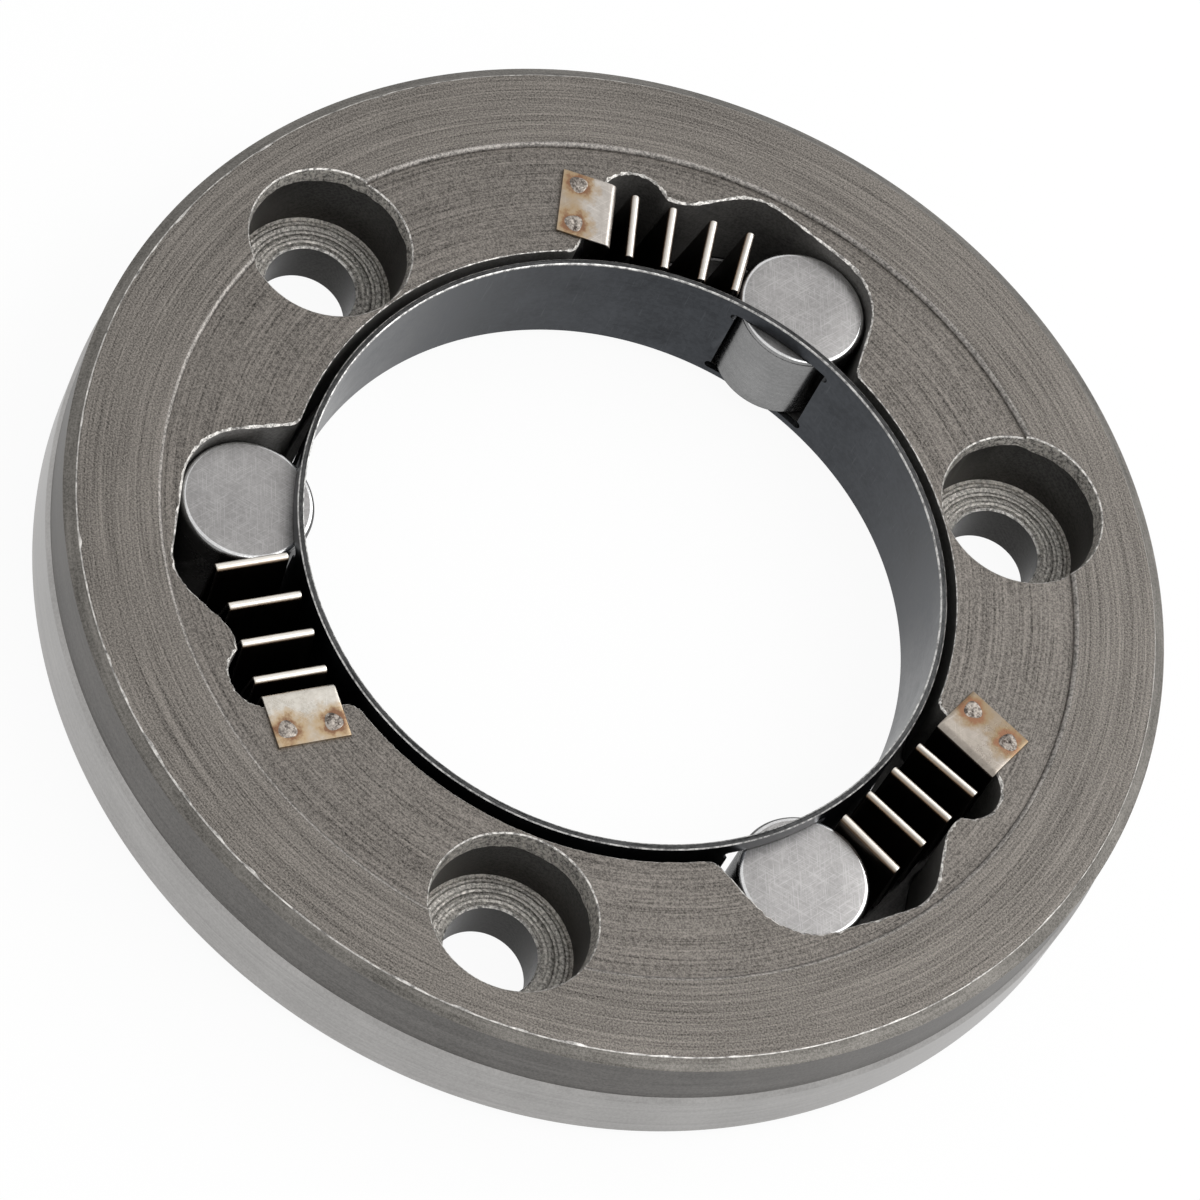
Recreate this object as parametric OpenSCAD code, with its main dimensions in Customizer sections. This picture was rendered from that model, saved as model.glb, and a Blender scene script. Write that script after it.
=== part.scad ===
// Outer half of a roller starter clutch: a steel ring with three cam pockets. Each pocket holds
// a hardened roller and an accordion strip spring that pushes it clockwise into the narrow end.
// A windowed sheet steel cage keeps the rollers in step. The back face lies on z = 0.

/* [Ring] */
// Thickness of the ring, from the back face to the outer top face
ring_t = 13; // [12.4:0.1:16]
// Diameter of the upper side band
upper_band_d = 100; // [98:0.1:106]
// How far the ground lower band stands out of the upper one, on the radius
lower_band_step = 0.35; // [0.2:0.05:0.8]
// Height of the ground lower band above the back face
lower_band_h = 6.9; // [4:0.1:9]
// Width of the top outer chamfer, on the radius
top_chamfer_w = 1.1; // [0.5:0.1:1.6]
// Height of the top outer chamfer
top_chamfer_h = 0.6; // [0.3:0.1:1.2]
// Chamfer round the outer and inner edges of the back face
back_chamfer = 1; // [0.4:0.1:1.2]
// Width of the inner face between the pockets and the step up to the top face
step_land = 0.62; // [0.42:0.1:3.02]
// Depth of the inner face below the top face
step_depth = 0.4; // [0.3:0.05:0.7]
// Gap between the cage and the ring's bore, on the radius
bore_gap = 1; // [0.7:0.1:1.2]

/* [Bolt holes] */
// Number of bolt holes, and of pockets
bolt_count = 3; // [3:1:3]
// Diameter of the bolt circle
bolt_circle_d = 76.5; // [76.4:0.1:80]
// Diameter of the bolt holes
bolt_hole_d = 8.4; // [6.6:0.1:9]
// Diameter of the counterbore for a socket head
counterbore_d = 14.5; // [13.4:0.1:14.8]
// Depth of the counterbore below the top face
counterbore_depth = 8; // [5:0.1:9]
// Diameter of the tapered mouth of the counterbore
mouth_d = 15; // [14.9:0.1:15.2]
// Depth of the tapered mouth below the top face
mouth_depth = 1.5; // [1.2:0.1:2.6]

/* [Rollers] */
// Diameter of the inner race that the rollers grip
race_d = 55; // [54.6:0.1:55.6]
// Diameter of a roller
roller_d = 12; // [11.6:0.1:12.2]
// Length of a roller
roller_l = 8.8; // [8:0.1:9]
// Radius round the edges of a roller
roller_edge_r = 0.5; // [0.2:0.1:0.8]
// Clockwise angle from a bolt hole to the roller after it
roller_a = 75.9; // [75:0.1:77]
// Angle of the ramp to the tangent, which wedges the roller
wedge_a = 4.6; // [3:0.1:6]
// Travel of a roller along its ramp towards the spring
roller_travel = 2.5; // [1:0.1:3]
// Clearance of a roller at rest from its ramp and its spring
roller_gap = 0.03; // [0.02:0.01:0.1]
// Clearance of a roller above the pocket floor
roller_end_gap = 0.1; // [0.05:0.01:0.2]

/* [Pockets] */
// Thickness of the web that closes the back of the pockets
web_t = 2.2; // [2:0.1:3]
// Angle by which the springs push outward of the tangent
push_a = 19.8; // [18:0.1:21]
// Radius of the lobe at the first fold of the spring
lobe_r = 3.2; // [3:0.1:3.3]
// Distance of the lobe's centre inward of the strip's outer edge
lobe_in = 1.1; // [0.9:0.1:1.4]
// Tilt of the wall behind the spring
seat_tilt = 8; // [5:0.5:10]
// Radius of the bump beside the second fold
bump_r = 4.1; // [3.9:0.1:4.3]
// Gap between the bump and the strip
bump_gap = 0.5; // [0.4:0.05:0.8]
// Radius of the bay where the ramp starts
bay_r = 5; // [4.8:0.1:5.2]
// Distance from the roller's centre back to the bay's centre
bay_back = 6; // [5.8:0.1:6.3]
// Clearance round the roller at the narrow end
end_gap = 0.3; // [0.2:0.05:0.5]
// Tilt of the end wall from square to the push
end_tilt = 4.9; // [3:0.1:6]
// Radius where the end wall rounds into the bore
end_corner_r = 1.5; // [0.8:0.1:2]
// Radius where the seat wall rounds into the bore
seat_corner_r = 1.2; // [0.6:0.1:1.6]

/* [Cage] */
// Gap between the inner race and the cage, on the radius
cage_gap = 1.4; // [1:0.1:1.5]
// Wall of the cage
cage_wall = 0.6; // [0.5:0.05:0.8]
// Distance of the cage's top edge below the ring's top face
cage_drop = 0.1; // [0:0.05:0.3]
// Height of the cage's rim below the windows
cage_low_rim = 0.75; // [0.5:0.05:0.9]
// Running clearance of the cage in the web, on the radius
cage_clear = 0.05; // [0.02:0.01:0.1]
// Width of a window
window_w = 9.6; // [9.4:0.1:10]
// Clearance of a window above and below its roller
window_gap = 0.15; // [0.1:0.05:0.2]
// Clockwise angle by which a window leads its roller
window_lead = 0.8; // [0.6:0.1:1]
// Radius of the reliefs at the corners of a window
relief_r = 0.45; // [0.3:0.05:0.5]

/* [Springs] */
// Thickness of the spring strip
strip_t = 0.3; // [0.2:0.05:0.4]
// Width of the spring strip
strip_w = 6.65; // [6.4:0.05:6.8]
// Number of folds along the top of a spring
fold_count = 4; // [4:1:4]
// Distance between the top folds
fold_pitch = 3.62; // [3.4:0.02:3.7]
// Radius of the middle of the strip round a fold
fold_r = 0.28; // [0.22:0.01:0.34]
// Distance of the strip's middle line outward of the roller's centre
strip_out = 1.95; // [1.8:0.05:2.1]
// Distance of the top folds below the inner face
fold_drop = 0.16; // [0.1:0.02:0.4]
// Clearance of the bottom folds above the pocket floor
fold_floor_gap = 0.3; // [0.2:0.05:0.6]
// Length of the tab that is welded to the ring
tab_l = 5.2; // [4.6:0.1:5.6]
// Radius of the middle of the strip where the tab bends down
tab_bend_r = 0.5; // [0.3:0.05:0.7]
// Distance from the tab's bent edge to the first top fold
tab_lead = 2.35; // [2.2:0.05:2.6]
// Distance by which the first tab is welded nearer to its roller
tab_shift_1 = 0.8; // [0:0.05:0.9]
// Distance by which the second tab is welded nearer to its roller
tab_shift_2 = 0.4; // [0:0.05:0.9]
// Distance by which the third tab is welded nearer to its roller
tab_shift_3 = 0; // [0:0.05:0.9]

/* [Spot welds] */
// Diameter of a weld's core where it passes through the tab
weld_core_d = 1.5; // [1.2:0.1:1.8]
// Diameter of a weld's cap on the tab
weld_cap_d = 2; // [1.9:0.1:2.4]
// Height of a weld's cap
weld_cap_h = 0.2; // [0.1:0.05:0.3]
// Distance between the two welds of a tab
weld_gap = 4.2; // [3.6:0.1:4.4]
// Distance of the welds from the tab's bent edge
weld_back = 3.7; // [2.8:0.1:4]

/* [Hidden] */
$fn = 96;

// Amount by which a cut runs past the face it starts from
past = 1;
// Amount by which an arc crosses the wall it runs into, so that they never just touch
lap = 0.005;
// Facets of a bend in the strip
bend_facets = 10;

// Heights above the back face
inner_face_z = ring_t - step_depth;
counterbore_z = ring_t - counterbore_depth;
roller_z = web_t + roller_end_gap;
window_z = roller_z - window_gap;
cage_z = window_z - cage_low_rim;
cage_h = ring_t - cage_drop - cage_z;
window_h = roller_l + 2 * window_gap;

// Radii about the clutch axis
upper_band_r = upper_band_d / 2;
lower_band_r = upper_band_r + lower_band_step;
cage_r = race_d / 2 + cage_gap + cage_wall;
web_bore_r = cage_r + cage_clear;
bore_r = cage_r + bore_gap;
roller_r = roller_d / 2;
roller_circle_r = race_d / 2 + roller_r;

// The frame of a pocket: x is the way the spring pushes, y is outward, and its origin is the
// centre of the roller at rest
radial_a = 90 - push_a;
axis_p = -roller_circle_r * [cos(radial_a), sin(radial_a)];
ramp_a = push_a + wedge_a;
ramp_n = [sin(ramp_a), cos(ramp_a)];
ramp_d = roller_r + roller_gap;

// The spring, from the leg against the roller back to the tab
last_leg_x = -roller_r - roller_gap - strip_t / 2;
last_fold_x = last_leg_x - fold_r;
first_fold_x = last_fold_x - (fold_count - 1) * fold_pitch;
tab_shifts = [tab_shift_1, tab_shift_2, tab_shift_3];
function tab_edge_x(i) = first_fold_x - tab_lead + tab_shifts[i];
fold_top_z = inner_face_z - fold_drop - strip_t / 2 - fold_r;
fold_low_z = web_t + fold_floor_gap + strip_t / 2 + fold_r;
strip_edge_y = strip_out + strip_w / 2;

// The outline of a pocket
lobe_c = [first_fold_x, strip_edge_y - lobe_in];
bump_c = [first_fold_x + fold_pitch, strip_edge_y + bump_gap + bump_r];
bay_c = [-bay_back, (ramp_d + lap - bay_r + bay_back * ramp_n.x) / ramp_n.y];
step_r = norm(bay_c - axis_p) + bay_r + step_land;
end_r = roller_r + end_gap;
end_c = (ramp_d + lap - end_r) * ramp_n;
seat_n = [-cos(seat_tilt), sin(seat_tilt)];
seat_w = [-sin(seat_tilt), -cos(seat_tilt)];
seat_p = lobe_c + (lobe_r - lap) * seat_n;
end_n = [cos(end_tilt), -sin(end_tilt)];
end_w = [-sin(end_tilt), -cos(end_tilt)];
end_p = end_c + (end_r - lap) * end_n;

function unit(v) = v / norm(v);
function turned(v, a) = [v.x * cos(a) - v.y * sin(a), v.x * sin(a) + v.y * cos(a)];

// Distance along the wall at p, which runs inward along w with the metal on side n, to where a
// corner of radius r meets it
function corner_run(p, w, n, r) =
    let (q = p + (r - lap) * n - axis_p, b = q * w, c = q * q - pow(bore_r + r - lap, 2))
    -b - sqrt(b * b - c);

// Point where the line between circles c1, r1 and c2, r2, which lie on opposite sides of it,
// runs past the first
function cross_touch(c1, r1, c2, r2) =
    let (a = acos((r1 + r2 - 2 * lap) / norm(c2 - c1)))
    c1 + (r1 - lap) * turned(unit(c2 - c1), -a);

// Places children in a pocket's frame, once for each pocket or for pocket i alone
module in_pocket(i) {
    rotate([0, 0, i * 360 / bolt_count - roller_a])
        translate([roller_circle_r, 0, 0])
            rotate([0, 0, -radial_a])
                children();
}

module in_each_pocket() {
    for (i = [0:bolt_count - 1]) in_pocket(i) children();
}

// Half section of the ring, before the pockets and the bolt holes
module ring_section() {
    difference() {
        polygon([
            [web_bore_r + back_chamfer, 0],
            [lower_band_r - back_chamfer, 0],
            [lower_band_r, back_chamfer],
            [lower_band_r, lower_band_h],
            [upper_band_r, lower_band_h],
            [upper_band_r, ring_t - top_chamfer_h],
            [upper_band_r - top_chamfer_w, ring_t],
            [step_r, ring_t],
            [step_r, inner_face_z],
            [bore_r, inner_face_z],
            [bore_r, web_t],
            [web_bore_r, web_t],
            [web_bore_r, back_chamfer]
        ]);
        // The step's outer edge is rolled over
        difference() {
            translate([step_r - step_depth, inner_face_z]) square(2 * step_depth);
            translate([step_r + step_depth, inner_face_z]) circle(step_depth);
            translate([step_r + step_depth, inner_face_z]) square(step_depth);
        }
    }
}

module bolt_hole() {
    translate([0, 0, -past]) cylinder(h = ring_t + 2 * past, d = bolt_hole_d);
    translate([0, 0, counterbore_z]) cylinder(h = counterbore_depth + past, d = counterbore_d);
    translate([0, 0, ring_t - mouth_depth])
        cylinder(
            h = mouth_depth + past, d1 = counterbore_d,
            d2 = mouth_d + (mouth_d - counterbore_d) * past / mouth_depth
        );
}

// Rounds the corner where a pocket wall meets the bore
module bore_corner(p, w, n, r) {
    foot = p + corner_run(p, w, n, r) * w;
    mid = foot + (r - lap) * n;
    touch = axis_p + bore_r * unit(mid - axis_p);
    inside = axis_p + (bore_r - r) * unit(foot - axis_p);
    difference() {
        polygon([foot, mid, touch, inside]);
        translate(mid) circle(r);
    }
}

module pocket_outline() {
    touch_1 = cross_touch(bump_c, bump_r, bay_c, bay_r);
    touch_2 = cross_touch(bay_c, bay_r, bump_c, bump_r);
    seat_run = corner_run(seat_p, seat_w, seat_n, seat_corner_r);
    end_run = corner_run(end_p, end_w, end_n, end_corner_r);
    difference() {
        union() {
            polygon([
                lobe_c, bump_c, touch_1, touch_2, bay_c,
                bay_c + (bay_r - lap) * ramp_n, end_c + (end_r - lap) * ramp_n, end_c,
                end_p, end_p + (end_run + 2 * end_corner_r) * end_w,
                seat_p + (seat_run + 2 * seat_corner_r) * seat_w, seat_p
            ]);
            translate(lobe_c) circle(lobe_r);
            translate(bay_c) circle(bay_r);
            translate(end_c) circle(end_r);
            bore_corner(seat_p, seat_w, seat_n, seat_corner_r);
            bore_corner(end_p, end_w, end_n, end_corner_r);
        }
        translate(bump_c) circle(bump_r);
    }
}

module clutch_ring() {
    color([0.45, 0.43, 0.41])
        difference() {
            rotate_extrude() ring_section();
            for (i = [0:bolt_count - 1])
                rotate([0, 0, i * 360 / bolt_count])
                    translate([bolt_circle_d / 2, 0, 0])
                        bolt_hole();
            in_each_pocket()
                translate([0, 0, web_t])
                    linear_extrude(ring_t - web_t + past)
                        pocket_outline();
        }
}

// Opening for a roller, cut outward through the wall, with a relief at each corner
module window() {
    low_r = cage_r - 3 * cage_wall;
    translate([low_r, -window_w / 2, window_z]) cube([6 * cage_wall, window_w, window_h]);
    for (y = [-window_w / 2, window_w / 2], z = [window_z + relief_r, window_z + window_h - relief_r])
        translate([low_r, y, z]) rotate([0, 90, 0]) cylinder(h = 6 * cage_wall, r = relief_r);
}

module retainer_cage() {
    color([0.24, 0.26, 0.29])
        difference() {
            translate([0, 0, cage_z]) cylinder(h = cage_h, r = cage_r);
            translate([0, 0, cage_z - past])
                cylinder(h = cage_h + 2 * past, r = cage_r - cage_wall);
            for (i = [0:bolt_count - 1])
                rotate([0, 0, i * 360 / bolt_count - roller_a - window_lead])
                    window();
        }
}

// A roller with rounded edges, in its place at rest
module roller(i) {
    flat_r = roller_r - roller_edge_r;
    color([0.78, 0.78, 0.78])
        in_pocket(i)
            translate([0, 0, roller_z])
                rotate_extrude() {
                    square([flat_r, roller_l]);
                    translate([0, roller_edge_r]) square([roller_r, roller_l - 2 * roller_edge_r]);
                    for (z = [roller_edge_r, roller_l - roller_edge_r])
                        translate([flat_r, z]) circle(roller_edge_r);
                }
}

// Points of the strip's middle line round a bend of radius r about c, each with the unit vector
// to its left, from angle a0 to a1
function bend(c, r, a0, a1) = [
    for (k = [0:bend_facets])
        let (a = a0 + (a1 - a0) * k / bend_facets, u = [cos(a), sin(a)])
        [c + r * u, a1 > a0 ? -u : u]
];

// Middle line of strip i seen from the side, from the tab to the leg against the roller: x is
// the way it pushes, y is up
function strip_path(i) =
    let (
        rise = fold_top_z - fold_low_z,
        half = fold_pitch / 2,
        lean = atan(half / rise) - asin(2 * fold_r / norm([half, rise])),
        tab_z = inner_face_z + strip_t / 2,
        tab_bend_c = [tab_edge_x(i) - strip_t / 2 - tab_bend_r, tab_z - tab_bend_r],
        first_low = [first_fold_x - half, fold_low_z],
        leg = tab_bend_c - first_low,
        leg_a = atan2(leg.y, leg.x) + acos((tab_bend_r + fold_r) / norm(leg))
    )
    [
        [[tab_edge_x(i) - tab_l, tab_z], [0, 1]],
        each bend(tab_bend_c, tab_bend_r, 90, leg_a - 180),
        for (k = [0:fold_count - 1]) let (x = first_fold_x + k * fold_pitch)
            each [
                each bend([x - half, fold_low_z], fold_r, k > 0 ? 180 + lean : leg_a, 360 - lean),
                each bend([x, fold_top_z], fold_r, 180 - lean, k < fold_count - 1 ? lean : 0)
            ],
        [[last_leg_x, fold_low_z], [1, 0]]
    ];

// Strip i seen from the side
module strip_section(i) {
    path = strip_path(i);
    last = len(path) - 1;
    polygon([
        for (e = path) e[0] + strip_t / 2 * e[1],
        for (k = [0:last]) path[last - k][0] - strip_t / 2 * path[last - k][1]
    ]);
}

// Places children at the two welds of tab i
module at_welds(i) {
    for (s = [-1, 1])
        translate([tab_edge_x(i) - weld_back, strip_out + s * weld_gap / 2, inner_face_z])
            children();
}

module spring(i) {
    color([0.82, 0.78, 0.72])
        in_pocket(i)
            difference() {
                translate([0, strip_edge_y, 0])
                    rotate([90, 0, 0])
                        linear_extrude(strip_w)
                            strip_section(i);
                at_welds(i) cylinder(h = past, d = weld_core_d);
            }
}

module spot_welds() {
    color([0.66, 0.62, 0.58])
        for (i = [0:bolt_count - 1])
            in_pocket(i)
                at_welds(i)
                    rotate_extrude() {
                        square([weld_core_d / 2, strip_t + weld_cap_h]);
                        translate([0, strip_t]) square([weld_cap_d / 2, weld_cap_h / 2]);
                    }
}

clutch_ring();
retainer_cage();
roller(0);  // roller_1
roller(1);  // roller_2
roller(2);  // roller_3
spring(0);  // spring_1
spring(1);  // spring_2
spring(2);  // spring_3
spot_welds();
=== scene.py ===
"""Outer half of a roller starter clutch: ring, cage, three rollers and three strip springs."""

import bmesh
import bpy
import numpy as np
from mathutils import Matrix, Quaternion, Vector


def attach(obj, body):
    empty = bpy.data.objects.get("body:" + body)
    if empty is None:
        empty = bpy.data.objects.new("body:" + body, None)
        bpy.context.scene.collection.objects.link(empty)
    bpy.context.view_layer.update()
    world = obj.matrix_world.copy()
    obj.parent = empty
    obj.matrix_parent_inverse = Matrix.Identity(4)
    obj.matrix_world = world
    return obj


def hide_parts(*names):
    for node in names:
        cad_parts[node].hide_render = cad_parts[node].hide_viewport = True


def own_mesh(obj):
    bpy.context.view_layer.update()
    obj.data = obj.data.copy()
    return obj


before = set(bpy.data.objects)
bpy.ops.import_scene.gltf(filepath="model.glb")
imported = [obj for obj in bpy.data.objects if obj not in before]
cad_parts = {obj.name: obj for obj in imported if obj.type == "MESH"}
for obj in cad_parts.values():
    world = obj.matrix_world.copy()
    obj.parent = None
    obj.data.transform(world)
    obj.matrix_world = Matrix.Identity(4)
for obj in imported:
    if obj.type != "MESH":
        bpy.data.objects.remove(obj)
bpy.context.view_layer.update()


# The ring. It is forged steel, turned all over: a dull upper side band, a ground lower band that
# seats in the rotor, a shallow step in the top face, three counterbored holes for the screws, and
# three milled cam pockets that open into the bore. A thin web closes the back of the pockets.
MM = 0.001
# Lengths are in mm and angles in degrees; a pocket's frame has its middle at the roller at rest
THIRDS = np.arange(3) * 120.0
RING_R, UPPER_R, RING_T = 50.35, 50.0, 13.0
GROUND_TOP_Z, SHOULDER_Z, BACK_CHAMFER = 6.55, 7.15, 1.0
CHAMFER_LOW_Z, CHAMFER_R, CHAMFER_DROP, EDGE_W = 12.4, 49.0, 0.05, 0.04
INNER_FACE_Z, STEP_R, STEP_ROUND = 12.6, 41.4, 0.4
WEB_T, WEB_BORE_R, BORE_R = 2.2, 29.55, 30.5
# Where the first roller stands and which way its spring pushes; how far the ramp's normal is turned
# from the frame's outward axis, and how far the ramp is from the roller's axis
ROLLER_CIRCLE_R, ROLLER_TURN = 33.5, -75.9
PUSH_TURN, RAMP_TURN, RAMP_DISTANCE = -70.2, 24.4, 6.03
BOLT_CIRCLE_R, BOLT_HOLE_R, HOLE_CHAMFER = 38.25, 4.2, 0.2
COUNTERBORE_R, COUNTERBORE_Z, MOUTH_R, MOUTH_EDGE = 7.25, 5.0, 7.5, 0.09
# How far the three counterbores' mouths are torn down, and where the outer edge is nicked most
MOUTH_DEPTHS = (1.1, 2.0, 1.2)
NICKED_TURN = 75
ABOVE_Z, BELOW_Z = 14.0, -1.0
RING_STEPS, HOLE_STEPS, FLOOR_RINGS = 432, 120, 15


def arc(centre, radius, start, end, turn=5.0, reach=0.35):
    """Points round a centre from one angle to another, in degrees, each with the unit vector into
    the metal: away from the centre when the angle grows, and towards it when it shrinks. They are
    no further apart than a turn in degrees and a reach in mm."""
    sweep = abs(end - start)
    count = int(np.ceil(max(sweep / turn, np.radians(sweep) * radius / reach, 2)))
    angle = np.radians(np.linspace(start, end, count + 1))
    out = np.stack([np.cos(angle), np.sin(angle)], 1)
    return np.asarray(centre) + radius * out, out * np.sign(end - start)


def angle_of(vector):
    """Angle of a flat vector in degrees."""
    return np.degrees(np.arctan2(vector[1], vector[0]))


def turned(points, degrees):
    """Flat points, or vectors, turned about the origin."""
    c, s = np.cos(np.radians(degrees)), np.sin(np.radians(degrees))
    return np.asarray(points) @ np.array([[c, s], [-s, c]])


def below(angle, limit):
    """The same angle, taken down by whole turns until it is under the limit."""
    return limit - (limit - angle) % 360


def pocket_outline():
    """One third of the hollow's outline, seen in the frame of its roller at rest: x is the way the
    spring pushes and y is outward. It runs anticlockwise round the clutch as arcs that touch, and
    the straight walls are what joins one arc to the next. Gives points, unit vectors into the
    metal, and how wide the broken edge is there."""
    # The clutch's axis and the ramp's normal, then the rounds: the end past the roller, the bay
    # behind it, the bump, the nib, the lobe beside the first fold, and the corners at the bore
    axis = turned([[-ROLLER_CIRCLE_R, 0.0]], -PUSH_TURN)[0]
    ramp = turned([[0.0, 1.0]], -RAMP_TURN)[0]
    end_r, bay_r, bump_r, lobe_r, nib_r = 6.3, 5.0, 4.1, 3.2, 0.3
    end_corner_r, seat_corner_r, bay_x = 1.5, 1.2, -6.0
    end_c = (RAMP_DISTANCE - end_r) * ramp
    bay_c = np.array([bay_x, (RAMP_DISTANCE - bay_r - bay_x * ramp[0]) / ramp[1]])
    bump_c = np.array([-13.7, 9.875])
    lobe_c = np.array([-17.32, 4.175])

    def corner(start, normal, radius):
        """Centre of the corner that rounds a wall into the bore: a radius off the wall on the
        metal's side, and a radius outside the bore."""
        way = np.array([-abs(normal[1]), -abs(normal[0])])
        q = start + radius * normal - axis
        b = q @ way
        run = -b - np.sqrt(b * b - (q @ q - (BORE_R + radius) ** 2))
        return start + run * way + radius * normal

    end_n = turned([[1.0, 0.0]], -4.9)[0]
    seat_n = turned([[-1.0, 0.0]], -8.0)[0]
    end_mid = corner(end_c + end_r * end_n, end_n, end_corner_r)
    seat_mid = corner(lobe_c + lobe_r * seat_n, seat_n, seat_corner_r)

    # The line that touches the bay and the bump crosses the line between their centres
    apart = bay_c - bump_c
    cross = angle_of(apart) - np.degrees(np.arccos((bump_r + bay_r) / np.linalg.norm(apart)))
    # The nib between bump and lobe is a small circle that touches both
    gap = lobe_c - bump_c
    d, r1, r2 = np.linalg.norm(gap), bump_r - nib_r, lobe_r + nib_r
    along = (d * d + r1 * r1 - r2 * r2) / (2 * d)
    nib_c = bump_c + along * gap / d + np.sqrt(r1 * r1 - along * along) * turned([gap / d], 90)[0]

    bump_end = angle_of(nib_c - bump_c)
    nib_end = angle_of(lobe_c - nib_c)
    lobe_start = angle_of(nib_c - lobe_c)
    seat_face = angle_of(seat_n)
    bore_start, bore_end = angle_of(seat_mid - axis), angle_of(end_mid - axis) + 120
    ramp_face = angle_of(ramp)
    # Each run is a centre, a radius, the angles at both ends, and the width of the broken edge
    runs = [
        (end_mid, end_corner_r, angle_of(axis - end_mid) % 360, angle_of(-end_n) % 360, 0.16),
        (end_c, end_r, angle_of(end_n), ramp_face, 0.18),
        (bay_c, bay_r, ramp_face, -below(-(cross + 180), -ramp_face), 0.18),
        (bump_c, bump_r, cross, below(bump_end, cross), 0.18),
        (nib_c, nib_r, bump_end, below(nib_end, bump_end), 0.14),
        (lobe_c, lobe_r, lobe_start, -below(-seat_face, -lobe_start), 0.18),
        (seat_mid, seat_corner_r, angle_of(-seat_n),
         below(angle_of(axis - seat_mid), angle_of(-seat_n)), 0.16),
        (axis, BORE_R, bore_start, -below(-bore_end, -bore_start), 0.07),
    ]
    lines = [arc(*run[:4]) for run in runs]
    points = np.concatenate([line[0] for line in lines])
    normals = np.concatenate([line[1] for line in lines])
    width = np.concatenate([np.full(len(line[0]), run[4]) for line, run in zip(lines, runs)])

    # Long straight walls get points of their own, so that their edges can waver
    length = np.append(0, np.cumsum(np.linalg.norm(np.diff(points, axis=0), axis=1)))
    at = np.union1d(length, np.arange(0, length[-1], 0.4))
    at = at[np.append(True, np.diff(at) > 0.02)]
    points = np.stack([np.interp(at, length, points[:, k]) for k in range(2)], 1)
    normals = np.stack([np.interp(at, length, normals[:, k]) for k in range(2)], 1)
    normals /= np.linalg.norm(normals, axis=1, keepdims=True)
    return points[:-1], normals[:-1], np.interp(at, length, width)[:-1]


def to_clutch(points, turn):
    """Points in a pocket's frame, taken to the clutch's own frame."""
    return turned(turned(points, PUSH_TURN) + [ROLLER_CIRCLE_R, 0], ROLLER_TURN + turn)


def wavering(count, smooth, seed):
    """Smooth noise between about -1 and 1 round a closed line: random numbers that are averaged
    over a window, which wraps round the end."""
    noise = np.random.default_rng(seed).normal(size=count)
    window = np.hanning(smooth + 2)
    noise = np.convolve(np.concatenate([noise[-smooth:], noise, noise[:smooth]]), window, "same")
    return noise[smooth:-smooth] / np.sqrt((window ** 2).sum()) * 0.7


def face_height(x, y):
    """Height of the top faces: the outer one, the inner one, and the rolled edge between."""
    run = np.clip((STEP_R + STEP_ROUND - np.hypot(x, y)) / STEP_ROUND, 0, 1)
    return INNER_FACE_Z + (RING_T - INNER_FACE_Z) * np.sqrt(1 - run ** 2)


def shell(name, grids, finishes, cap=False, loop=False, sharp=12.0):
    """A mesh object from grids of points in mm. A grid has rows of points, each row closed on
    itself, and a finish number for each band between two rows. The ends are capped, or joined as a
    loop, or drawn together to a pole. Poles are merged and faces turned outward."""
    points, faces, numbers, first = [], [], [], 0
    for grid, bands in grids:
        rows, n = grid.shape[:2]
        count = rows if loop else rows - 1
        i, j = np.arange(count)[:, None], np.arange(n)[None, :]
        after, beside = (i + 1) % rows, (j + 1) % n
        quads = np.stack([i * n + j, i * n + beside, after * n + beside, after * n + j], -1)
        faces += (quads.reshape(-1, 4) + first).tolist()
        numbers.append(np.repeat(np.broadcast_to(bands, count), n))
        if cap:
            ends = np.arange(n) + first
            faces += [ends[::-1].tolist(), (ends + (rows - 1) * n).tolist()]
            numbers.append([np.broadcast_to(bands, count)[0], np.broadcast_to(bands, count)[-1]])
        points.append(grid.reshape(-1, 3))
        first += rows * n
    mesh = bpy.data.meshes.new(name)
    mesh.from_pydata(np.concatenate(points) * MM, [], faces)
    mesh.polygons.foreach_set("material_index", np.concatenate(numbers).astype(np.int32))
    for finish in finishes:
        mesh.materials.append(finish)
    shaped = bmesh.new()
    shaped.from_mesh(mesh)
    bmesh.ops.remove_doubles(shaped, verts=shaped.verts, dist=1e-7)
    bmesh.ops.recalc_face_normals(shaped, faces=shaped.faces)
    shaped.to_mesh(mesh)
    shaped.free()
    soften(mesh, sharp)
    piece = bpy.data.objects.new(name, mesh)
    bpy.context.scene.collection.objects.link(piece)
    return piece


def soften(mesh, sharp):
    """Smooth shading, with an edge kept sharp where its faces turn by more than an angle."""
    mesh.polygons.foreach_set("use_smooth", np.ones(len(mesh.polygons), dtype=bool))
    mesh.set_sharp_from_angle(angle=np.radians(sharp))


def lathe(section, centre=(0.0, 0.0), steps=96):
    """Grid of a section of radii and heights, carried round a centre: one row for each point."""
    section = np.asarray(section, dtype=float)
    angle = np.linspace(0, 2 * np.pi, steps, endpoint=False)
    radius, height = section[:, :1], section[:, 1:]
    return np.stack([centre[0] + radius * np.cos(angle), centre[1] + radius * np.sin(angle),
                     height + 0 * angle], -1)


def cut(piece, cutters, sharp=12.0):
    """Takes the cutters away from a piece. A cut face keeps the cutter's finish."""
    for cutter in cutters:
        step = piece.modifiers.new("cut", "BOOLEAN")
        step.operation, step.solver, step.object = "DIFFERENCE", "EXACT", cutter
    depsgraph = bpy.context.evaluated_depsgraph_get()
    mesh = bpy.data.meshes.new_from_object(piece.evaluated_get(depsgraph), depsgraph=depsgraph)
    piece.modifiers.clear()
    piece.data = mesh
    mesh.name = piece.name
    soften(mesh, sharp)
    for cutter in cutters:
        bpy.data.objects.remove(cutter)


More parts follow.
